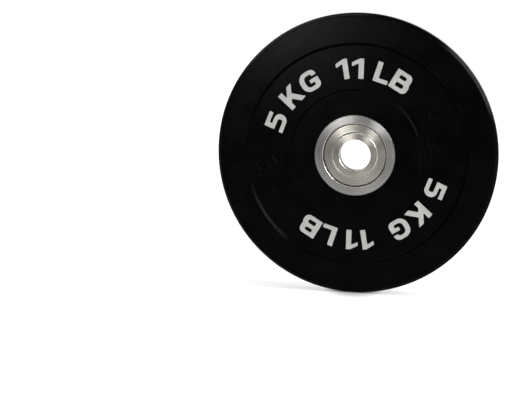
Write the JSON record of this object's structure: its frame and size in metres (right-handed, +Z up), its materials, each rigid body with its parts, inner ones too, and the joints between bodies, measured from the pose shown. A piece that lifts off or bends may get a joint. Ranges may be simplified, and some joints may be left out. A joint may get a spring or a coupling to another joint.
{
  "type": "competition weight plate",
  "caption": "Round rubber weight plate with a raised rim band, a recessed web and a stepped, turned steel hub round a through bore for a barbell sleeve.",
  "frame": {"origin": "centre of the bore, halfway through the plate's thickness", "axes": "the plate stands upright on its tread: +Z up, bore along Y, front face towards -Y, rear face with the screw heads towards +Y, +X to the right as the front is seen"},
  "size_m": [0.45, 0.025, 0.45],
  "materials": {
    "rubber": "moulded black rubber, satin",
    "stainless": "turned stainless steel",
    "plated_steel": "zinc plated"
  },
  "bodies": {
    "root": {"rubber_disc": "rubber", "anchor_ring": "plated_steel", "front_hub_flange": "stainless", "rear_hub_flange": "stainless", "bore_sleeve": "stainless", "hub_screw_1": "plated_steel", "hub_screw_2": "plated_steel", "hub_screw_3": "plated_steel", "hub_screw_4": "plated_steel", "hub_screw_5": "plated_steel", "hub_screw_6": "plated_steel"}
  },
  "joints": []
}
